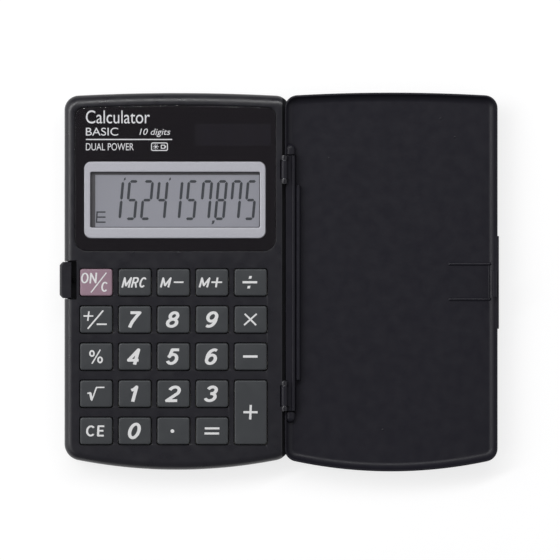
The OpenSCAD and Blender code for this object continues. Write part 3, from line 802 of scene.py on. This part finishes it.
def word(text, x, y, height, t, lean=0.0, squeeze=1.0, gap=0.14):
    """Outlines of a line of text centred on (x, y); height is over the ink."""
    inner, pen = height - t, t * PEN
    widths = [GLYPHS[c][0] * height * squeeze for c in text]
    at = x - (sum(widths) + gap * height * squeeze * (len(text) - 1)) / 2
    out = []
    for c, width in zip(text, widths):
        for line in GLYPHS[c][1]:
            closed = isinstance(line, tuple)
            line = line[1] if closed else line
            points = []
            for u, v in line:
                py = y - height / 2 + t / 2 + v * inner
                points.append((at + pen / 2 + u * (width - pen) + (py - y) * lean, py))
            out += stroke(points, t, closed, PEN)
        at += width + gap * height * squeeze
    return out


LEAN = 0.27


def slanted_square(x, y, side):
    h = side / 2
    return [(x - h - h * LEAN, y - h), (x + h - h * LEAN, y - h), (x + h + h * LEAN, y + h),
            (x - h + h * LEAN, y + h)]


# Each sign's lines: the thickness, and the points about the middle of the key.
SIGNS = {
    "divide": [(0.66, (-2.4, 0.05), (1.95, 0.05))],
    "multiply": [(0.5, (-1.95, -1.65), (1.8, 1.7)), (0.5, (-1.75, 1.7), (1.6, -1.65))],
    "minus": [(0.7, (-2.25, 0.05), (2.05, 0.05))],
    "plus": [(0.66, (-2.15, 0.05), (2.05, 0.05)), (0.66, (-0.15, -2.1), (0.05, 2.2))],
    "equals": [(0.62, (-2.15, 0.75), (2.2, 0.75)), (0.62, (-2.25, -0.75), (2.1, -0.75))],
    "sign": [(0.46, (-3.75, 1.05), (-0.85, 1.05)), (0.46, (-2.5, -0.4), (-2.15, 2.45)),
             (0.46, (-2.5, -2.75), (2.1, 2.7)), (0.46, (0.15, -1.4), (3.15, -1.4))],
    "root": [(0.4, (-2.6, 0.1), (-1.75, 0.35), (-1.3, -1.9), (0.1, 1.9), (2.45, 1.9)),
             (0.7, (-1.75, 0.2), (-1.35, -1.75))],
    "percent": [(0.38, (-1.25, -2.1), (1.25, 2.1))],
    "memory_minus": [(0.46, (0.1, 0.05), (3.0, 0.05))],
    "memory_plus": [(0.46, (-0.2, 0.05), (3.0, 0.05))],
}
# Each digit's shift to the side and how broad it is, where they differ from most.
DIGIT_FIT = {"1": (-0.6, 1.15), "2": (0.05, 1.07), "3": (-0.2, 1.06), "7": (-0.4, 0.98)}


def legend_shapes(node, x, y):
    """The outlines of a key's legend about its middle."""
    def line(t, *points, broad=1.0):
        return stroke([(x + a, y + b) for a, b in points], t, broad=broad)

    def ring(a, b):
        return stroke([(x + a + u, y + b + v) for u, v in arc(0, 0, 0.6, 0, 345, 19, 0.78)], 0.48, True)

    name = node[4:]
    lines = [outline for row in SIGNS.get(name, []) for outline in line(*row)]
    if name.isdigit():
        shift, squeeze = DIGIT_FIT.get(name, (-0.12, 0.98))
        return word(name, x + shift, y, 4.9, 0.84, LEAN, squeeze)
    if name == "on_clear":
        return (word("ON", x - 2.15, y + 1.3, 3.15, 0.4, 0.08, 0.84)
                + line(0.34, (-1.55, -3.0), (3.05, 2.9))
                + word("C", x + 2.5, y - 1.3, 3.0, 0.4, 0.08, 0.84))
    if name == "memory_recall":
        return word("MRC", x - 0.1, y, 3.1, 0.44, LEAN, 0.8, 0.13)
    if name == "memory_minus":
        return word("M", x - 2.25, y, 3.0, 0.46, LEAN, 0.94) + lines
    if name == "memory_plus":
        return (word("M", x - 2.2, y, 3.0, 0.46, LEAN, 0.94) + lines
                + line(0.46, (1.15, -1.45), (1.65, 1.45), broad=PEN))
    if name == "divide":
        return lines + [slanted_square(x - 0.1, y + 1.5, 0.8), slanted_square(x - 0.55, y - 1.4, 0.8)]
    if name == "percent":
        return ring(-1.25, 0.95) + ring(1.15, -0.95) + lines
    if name == "clear_entry":
        return word("CE", x - 0.2, y, 3.3, 0.52, 0.05, 1.08)
    if name == "point":
        return [circle(x - 0.3, y - 0.05, 0.55, 20)]
    return lines


def make_legend(node):
    (x0, y0), (x1, y1) = key_area(node)
    top = box(node)[1].z
    shell = Shell()
    shell.plate(legend_shapes(node, (x0 + x1) / 2, (y0 + y1) / 2), top - 0.08, top + 0.02)
    shell.make(node + "_legend", "key_ink", node)


# ---- window and display

def make_window():
    shell = Shell()
    steps = [(0.06, WINDOW_Z), (0, WINDOW_Z + 0.06)]
    steps += [(inset, DECK_Z - drop) for inset, drop in edge_steps(0.5, 4)]
    shell.solid([level(window_outline(-inset), z) for inset, z in steps])
    shell.make("window_pane", "window_plastic", "case", ["display_window"])


BEZEL_HOLE = ((-25.8, 16.0), (24.6, 32.5))
BEZEL_CORNER = 2.1
LCD_SINK = 0.45  # the picture lies this far under the glass's face


def bezel_hole(grow):
    (x0, y0), (x1, y1) = BEZEL_HOLE
    return rounded_box((x0 - grow, y0 - grow), (x1 + grow, y1 + grow), 0.45 + grow, 6)


def make_bezel():
    top, glass_top = box("display_bezel")[1].z, box("lcd_glass")[1].z
    edge = edge_steps(0.3, 4)

    def outer(inset):
        return node_outline("display_bezel", -inset, BEZEL_CORNER - inset, 6)

    rings = [(outer(0), glass_top)]
    rings += [(outer(inset), top - drop) for inset, drop in edge]
    rings += [(bezel_hole(inset), top - drop) for inset, drop in reversed(edge)]
    rings += [(bezel_hole(0), glass_top - LCD_SINK), (bezel_hole(0.4), glass_top - LCD_SINK),
              (bezel_hole(0.4), glass_top), rings[0]]
    shell = Shell()
    shell.loft([level(outline, z) for outline, z in rings])
    shell.make("bezel_frame", "bezel_metal", "case", ["display_bezel"])


def make_lcd():
    """The display cell, sunk in its frame, with a dark ring of painted shade along the frame's inner edge
    and two strips of painted shadow on its left and top.
    """
    low, high = box("lcd_glass")
    face = high.z - LCD_SINK
    shell = Shell()
    shell.plate([node_outline("lcd_glass", 0, 0.2, 3)], low.z, face)
    shell.make("lcd_cell", "lcd_glass", "case", ["lcd_glass"])
    # A dark ring of painted shade along the frame's inner edge, where the gap between the frame and the
    # sunk cell lies in shade.
    edge_shade = Shell()
    edge_shade.plate([bezel_hole(0.1)], face - 0.02, face + 0.12, [bezel_hole(-0.16)])
    edge_shade.make("lcd_edge_shade", "adhesive", "case")
    (x0, y0), (x1, y1) = BEZEL_HOLE
    # Two strips of painted shadow on the cell's left and top, where the frame's edges cast shadow on the
    # sunk cell.
    side, top, over = 1.45, 0.85, 0.05
    border = Shell()
    border.plate([[(x0 - over, y0 - over), (x0 + side, y0 - over), (x0 + side, y1 - top),
                   (x1 + over, y1 - top), (x1 + over, y1 + over), (x0 - over, y1 + over)]],
                 face - 0.01, face + 0.03)
    border.make("lcd_frame_shadow", "frame_shadow_paint", "case")


# Which of the seven segments each digit lights: top, upper right, lower right, bottom,
# lower left, upper left, middle
SEGMENTS = {"1": "bc", "2": "abged", "4": "fgbc", "5": "afgcd", "7": "abcf", "8": "abcdefg"}


def digit_shapes(digit, x, y, width, height, t, lean):
    """The lit segments of one digit, pointed at their ends."""
    half_w, half_h, gap = (width - t) / 2, (height - t) / 2, 0.1
    ends = {
        "a": ((-half_w, half_h), (half_w, half_h)), "g": ((-half_w, 0), (half_w, 0)),
        "d": ((-half_w, -half_h), (half_w, -half_h)), "b": ((half_w, 0), (half_w, half_h)),
        "c": ((half_w, -half_h), (half_w, 0)), "e": ((-half_w, -half_h), (-half_w, 0)),
        "f": ((-half_w, 0), (-half_w, half_h)),
    }
    out = []
    for name in SEGMENTS[digit]:
        (ax, ay), (bx, by) = ends[name]
        length = math.dist((ax, ay), (bx, by))
        ux, uy = (bx - ax) / length, (by - ay) / length
        nx, ny = -uy * t / 2, ux * t / 2
        a = (ax + ux * gap, ay + uy * gap)
        b = (bx - ux * gap, by - uy * gap)
        k = t / 2
        shape = [a, (a[0] + ux * k - nx, a[1] + uy * k - ny), (b[0] - ux * k - nx, b[1] - uy * k - ny),
                 b, (b[0] - ux * k + nx, b[1] - uy * k + ny), (a[0] + ux * k + nx, a[1] + uy * k + ny)]
        out.append([(x + px + py * lean, y + py) for px, py in shape])
    return out


def make_digits():
    """The number on the display: ten digits with two marks, a point and a small sign."""
    face = box("lcd_glass")[1].z - LCD_SINK
    first_x, pitch, mid_y = -17.8, 4.4, 24.15
    width, height, line, lean = 3.2, 11.9, 0.8, 0.09
    shapes = []
    for i, digit in enumerate("1524157875"):
        shapes += digit_shapes(digit, first_x + i * pitch, mid_y, width, height, line, lean)
    for x in (first_x + pitch * 0.45, first_x + pitch * 3.5):
        shapes.append([(x + 0.5, 30.9), (x + 0.1, 30.7), (x - 0.1, 29.9), (x + 0.5, 30.2)])
    x = first_x + pitch * 6.42
    shapes.append([(x, 18.1), (x + 0.75, 18.1), (x + 0.45, 17.2), (x - 0.25, 16.9)])
    for y in (17.6, 19.1, 20.6):
        shapes += stroke([(-24.0, y), (-21.3, y)], 0.42)
    shapes += stroke([(-24.0, 17.4), (-23.8, 20.8)], 0.42)
    shell = Shell()
    shell.plate(shapes, face - 0.02, face + 0.02)
    shell.make("display_digits", "segment_dye", "case")


def make_panel_print():
    """Generic wording, a rule and two power symbols on the back of the window."""
    z0, z1 = WINDOW_Z - 0.01, WINDOW_Z + 0.015
    left = -27.1
    shell = Shell()
    for text, x, y, height, width, lean in (("Calculator", left, 46.9, 3.9, 19.0, 0.0),
                                            ("BASIC", left, 43.3, 2.35, 9.6, 0.0),
                                            ("10 digits", left + 15.9, 42.9, 2.5, 9.2, 0.25),
                                            ("DUAL POWER", left, 38.9, 2.15, 14.2, 0.0)):
        shell.flat_text(text, x, y, height, width, lean, z0, z1)
    shell.plate(stroke([(left, 42.15), (left + 25.6, 42.15)], 0.34), z0, z1)
    low, high = (-7.75, 38.75), (-2.75, 41.25)
    frame_out = rounded_box(low, high, 0.5, 4)
    frame_in = rounded_box((low[0] + 0.28, low[1] + 0.28), (high[0] - 0.28, high[1] - 0.28), 0.3, 4)
    shell.plate([frame_out], z0, z1, [frame_in])
    sun_x, cell_x, mid_y = low[0] + 1.4, high[0] - 1.35, (low[1] + high[1]) / 2
    rays = []
    for i in range(8):
        a = math.pi * i / 4
        rays += stroke([(sun_x + 0.5 * math.cos(a), mid_y + 0.5 * math.sin(a)),
                        (sun_x + 0.85 * math.cos(a), mid_y + 0.85 * math.sin(a))], 0.16)
    shell.plate([circle(sun_x, mid_y, 0.36, 16)] + rays, z0, z1)
    hollow = rounded_box((cell_x - 0.5, mid_y - 0.33), (cell_x + 0.3, mid_y + 0.33), 0.1, 3)
    shell.plate([rounded_box((cell_x - 0.75, mid_y - 0.6), (cell_x + 0.55, mid_y + 0.6), 0.15, 3),
                 [(cell_x + 0.5, mid_y - 0.25), (cell_x + 0.85, mid_y - 0.25),
                  (cell_x + 0.85, mid_y + 0.25), (cell_x + 0.5, mid_y + 0.25)]], z0, z1, [hollow])
    shell.make("panel_print", "panel_ink", "case")


def make_window_mask():
    """The black ink and tape behind the window, open over the display and solar cell."""
    grow = 0.06
    opening = node_outline("display_bezel", grow, BEZEL_CORNER + grow, 8)
    pane = node_outline("solar_cell", -0.6, 0.3)
    shell = Shell()
    shell.plate([window_outline(-0.12)], RECESS_Z + 0.01, WINDOW_Z - 0.02, [opening, pane])
    shell.make("window_mask", "adhesive", "case", ["window_adhesive"])


# ---- cover and hinge

cover_low, cover_high = box("cover")
bar_low, bar_high = box("hinge_bar")
RIM_Z = 2 * AXIS_Z - DECK_Z - 0.1
COVER_Z = cover_low.z
PLATE_Z = COVER_Z + 1.2
COVER_HALF = 63.3 / 2
COVER_X0 = AXIS_X + 0.1
COVER_X = COVER_X0 + COVER_HALF
COVER_TOP, COVER_BOTTOM = cover_high.y, cover_low.y
COVER_CORNER, COVER_EDGE, RIM_T, RIM_EDGE = 3.9, 1.4, 0.9, 0.3
FILLET = (1.8, 1.9)  # the slope between the rim and the plate, across and up
BAR_Y = (KNUCKLES[0][0], KNUCKLES[1][1])
BAR_PLAY = 0.2
CUT_X = 35.3  # the bar's cut-out ends here
RIB = (CUT_X, 36.8, -29.4, 28.6)
END_PIN_X, END_PIN_Z = (bar_low.x + bar_high.x) / 2 + 0.55, (COVER_Z + RIM_Z) / 2


def cover_ring(z, inset, cut_x, cut_grow=0.0):
    """One level of the cover's skin; the bar's cut-out reaches in to cut_x."""
    left = COVER_X0 + inset
    y1, y0 = BAR_Y[1] + BAR_PLAY + cut_grow, BAR_Y[0] - BAR_PLAY - cut_grow
    far = bowed_end(COVER_HALF, COVER_TOP, TOP_RISE, COVER_CORNER, inset)
    near = turned(mirrored(bowed_end(COVER_HALF, -COVER_BOTTOM, BOTTOM_RISE, COVER_CORNER, inset)))
    far, near = ([(x + COVER_X, y) for x, y in end] for end in (far, near))
    cut = [(left, y1), (max(left, cut_x), y1), (max(left, cut_x), y0), (left, y0)]
    return level(far + cut + near, z)


def make_cover():
    """A shallow tray: rounded outside, a soft rim, and sides that slope to the plate."""
    shell = Shell()
    edge, rim = reversed(edge_steps(COVER_EDGE, 6)), edge_steps(RIM_EDGE, 4)[:-1]
    skin = [cover_ring(COVER_Z + drop, inset, CUT_X) for inset, drop in edge]
    skin += [cover_ring(RIM_Z - drop, inset, CUT_X) for inset, drop in rim]
    skin += [cover_ring(RIM_Z, RIM_EDGE + 0.05, CUT_X)]
    across, up = FILLET
    for i in range(9):
        a = math.radians(90 * i / 8)
        inset = RIM_T - 0.35 + (across + 0.35) * (1 - math.cos(a)) ** 0.8
        z = RIM_Z - 0.02 - (RIM_Z - PLATE_Z - 0.02) * math.sin(a)
        skin.append(cover_ring(z, inset, CUT_X + 0.02 * (i + 1), 0.02 * (i + 1)))
    shell.solid(skin)
    end_x = cover_high.x
    grip = [(end_x - 1.2, COVER_Z + 1.5), (end_x - 0.15, COVER_Z + 1.5), (end_x, COVER_Z + 1.7),
            (end_x, RIM_Z - 0.3), (end_x - 0.25, RIM_Z - 0.05), (end_x - 1.2, RIM_Z - 0.05)]
    shell.bar(grip, -14.1, 13.5, 0.3)
    make_tongue(shell)
    make_ridge(shell)
    make_sockets(shell)
    make_rib(shell)
    make_specks(shell)
    shell.make("cover_shell", "cover_plastic", "cover", ["cover"])


def make_tongue(shell):
    """The tongue at the cover's free edge, with the barb that the latch holds."""
    tip = cover_high.z
    x0 = 2 * AXIS_X + 30.1
    profile = [(x0, COVER_Z + 1.0), (x0 + 0.9, COVER_Z + 1.0), (x0 + 0.9, tip - 0.8), (x0 + 1.2, tip - 0.6),
               (x0 + 1.2, tip - 0.15), (x0 + 1.05, tip), (x0 + 0.3, tip), (x0, tip - 0.3)]
    shell.bar(profile, -4.6, 3.1, 0.15)


# Two low rounded ridges on the plate, which lead to the tongue, and a step beside it:
# their low and high corners and their heights.
RIDGES = (((80.6, 4.7), (93.4, 5.65), 0.45), ((80.6, -5.8), (93.4, -4.85), 0.45),
          ((92.5, -5.0), (93.0, 4.8), 0.2))
RIDGE_SHAPE = ((0.0, -0.2), (0.0, 0.3), (0.35, 0.68), (0.7, 0.93), (1.0, 1.0))


def make_ridge(shell):
    """The ridges, whose section follows RIDGE_SHAPE from the sides to the crest."""
    for (x0, y0), (x1, y1), height in RIDGES:
        most = (min(x1 - x0, y1 - y0) - 0.1) / 2
        rings = []
        for inset, rise in RIDGE_SHAPE:
            low, high = (x0 + inset * most, y0 + inset * most), (x1 - inset * most, y1 - inset * most)
            rings.append(level(rounded_box(low, high, 0.04, 3), PLATE_Z + rise * height))
        shell.solid(rings)


def make_rib(shell):
    """The rib along the bar's cut-out."""
    x0, x1, y0, y1 = RIB
    profile = [(x0 + 0.02, PLATE_Z - 0.5), (x1, PLATE_Z - 0.5), (x1, PLATE_Z + 0.3),
               (x1 - 0.35, RIM_Z - 0.25), (x1 - 0.6, RIM_Z), (x0 + 0.35, RIM_Z), (x0 + 0.02, RIM_Z - 0.3)]
    shell.bar(profile, y0, y1, 0.45)


def about_end_pins(across, up, y):
    """A point beside the line through the bar's two end pins."""
    return END_PIN_X + across, y, END_PIN_Z + up


def make_sockets(shell):
    """Round bosses at the cut-out's ends, which hold the bar's end pins."""
    r, length = 1.6, 3.4
    for y, way in ((BAR_Y[1] + BAR_PLAY, 1), (BAR_Y[0] - BAR_PLAY, -1)):
        profile = [(0.0, y), (0.62, y), (r - 0.2, y), (r, y + 0.2 * way)]
        profile += [(r * math.cos(math.radians(a)), y + way * (length - r + r * math.sin(math.radians(a))))
                    for a in range(0, 91, 15)]
        shell.lathe(about_end_pins, profile)


SPECKS = ((82.5, 42.9), (78.4, 48.5), (45.1, 36.7), (61.1, -44.1))
SPECK_SHAPE = ((0.0, -0.1), (0.32, -0.1), (0.3, 0.05), (0.18, 0.12), (0.0, 0.14))


def make_specks(shell):
    """Small moulding marks on the plate; their shape is (radius, height over the plate)."""
    profile = [(r, PLATE_Z + h) for r, h in SPECK_SHAPE]
    for x, y in SPECKS:
        shell.lathe(lambda a, b, z: (x + a, y + b, z), profile, 16)


def make_hinge_bar():
    """The bar the cover snaps to, full between the knuckles and cut back beside them."""
    shell = Shell()
    x0, x1, r = 32.1, bar_high.x, 0.5
    below = arc(x0 + r, COVER_Z + r, r, 180, 270, 5) + arc(x1 - r, COVER_Z + r, r, 270, 360, 5)
    crest = (arc(x1 - 0.7, RIM_Z - 0.7, 0.7, 0, 110, 8)
             + [(x1 - 1.3, RIM_Z - 0.38), (x0 + 1.0, RIM_Z - 0.3)])
    full = below + crest + arc(x0 + 0.45, RIM_Z - 0.73, 0.45, 85, 180, 6)
    slim = below + crest + arc(x0 + 0.9, RIM_Z - 1.25, 0.9, 80, 170, 6)
    gap = 0.15
    inner = (KNUCKLES[0][1] + gap, KNUCKLES[1][0] - gap)
    shell.bar(full, inner[0], inner[1], 0.1)
    shell.bar(slim, BAR_Y[0], inner[0] + 0.2, 0.2)
    shell.bar(slim, inner[1] - 0.2, BAR_Y[1], 0.2)
    for y0, y1 in KNUCKLES:
        a, b = y0 + EAR_L + 0.1, y1 - EAR_L - 0.1
        mid = (x0 + x1) / 2
        arm = ([(AXIS_X - 0.7, AXIS_Z - 2), (mid, AXIS_Z - 2), (mid, RIM_Z - 0.02)]
               + arc(AXIS_X, AXIS_Z, KNUCKLE_R, -40, 220, 24))
        shell.bar(arm, a, b, 0.1)
    sill = [(x0 + 0.2, COVER_Z + 0.4), (CUT_X + 0.06, COVER_Z + 0.4), (CUT_X + 0.06, RIM_Z - 0.75),
            (x0 + 0.2, RIM_Z - 1.2)]
    shell.bar(sill, BAR_Y[0] - BAR_PLAY - 0.06, BAR_Y[1] + BAR_PLAY + 0.06, 0.05)
    y0, y1 = bar_low.y, bar_high.y
    shell.lathe(about_end_pins, [(0.0, y0), (0.5, y0), (0.6, y0 + 0.1),
                                  (0.6, y1 - 0.1), (0.5, y1), (0.0, y1)])
    shell.make("hinge_bar_body", "cover_plastic", "cover", ["hinge_bar"])


# ---- latch

def make_latch():
    """The lever's block, with chamfered outer corners and an inward lip at its top."""
    shell = Shell()
    x0, x1 = latch_low.x, -31.6
    y0, y1 = latch_low.y, latch_high.y
    z0, z1 = latch_low.z, latch_high.z

    def ring(z, out, inner, ends=0.0):
        c = 0.9
        a, b = y0 + ends, y1 - ends
        return [(inner, a, z), (out + c, a, z), (out + 0.25, a + c - 0.25, z), (out, a + c + 0.1, z),
                (out, b - c - 0.1, z), (out + 0.25, b - c + 0.25, z), (out + c, b, z), (inner, b, z)]

    e = 0.15
    rings = [ring(z0, x0 + 1.6 + e, x1 - e, e), ring(z0 + e, x0 + 1.6, x1), ring(z0 + 1.6, x0, x1),
             ring(z1 - 1.2, x0, x1), ring(z1 - 1.0, x0, x1 + 0.2), ring(z1 - 0.9, x0, x1 + 0.2),
             ring(z1 - 0.35, x0 + 0.3, x1 + 0.2), ring(z1 - e, x0 + 0.55, x1 + 0.2, 0.03),
             ring(z1, x0 + 0.55 + e, x1 + 0.2 - e, e)]
    shell.solid(rings)
    shell.make("latch_block", "case_plastic", "latch", ["latch_lever"])


# ---- floor

FLOOR_HALF, FLOOR_DROP = 6.0, 0.0001  # in metres
FLOOR_GLOW, FLOOR_TONES = 0.74, (0.29, 0.31)


def make_floor():
    shader, place = new_material("floor_paper", 0.9, specular=0.0)
    shader.inputs["Emission Color"].default_value = (1, 1, 1, 1)
    shader.inputs["Emission Strength"].default_value = FLOOR_GLOW
    feed(ramp(noise(place, 0.05, 2.0), *FLOOR_TONES), shader, "Base Color")
    mesh = bpy.data.meshes.new("floor")
    corners = [(centre.x + a * FLOOR_HALF, centre.y + b * FLOOR_HALF, cad_low.z - FLOOR_DROP)
               for a, b in ((-1, -1), (1, -1), (1, 1), (-1, 1))]
    mesh.from_pydata(corners, [], [(0, 1, 2, 3)])
    mesh.materials.append(MATERIALS["floor_paper"])
    new_object("floor", mesh)


make_camera()
make_studio()
make_floor()
make_materials()
dress_cad_nodes()
make_lower_case()
make_upper_case()
make_ears()
for key in KEY_NODES:
    make_key(key)
    make_legend(key)
make_window()
make_window_mask()
make_bezel()
make_lcd()
make_digits()
make_panel_print()
make_cover()
make_hinge_bar()
make_latch()
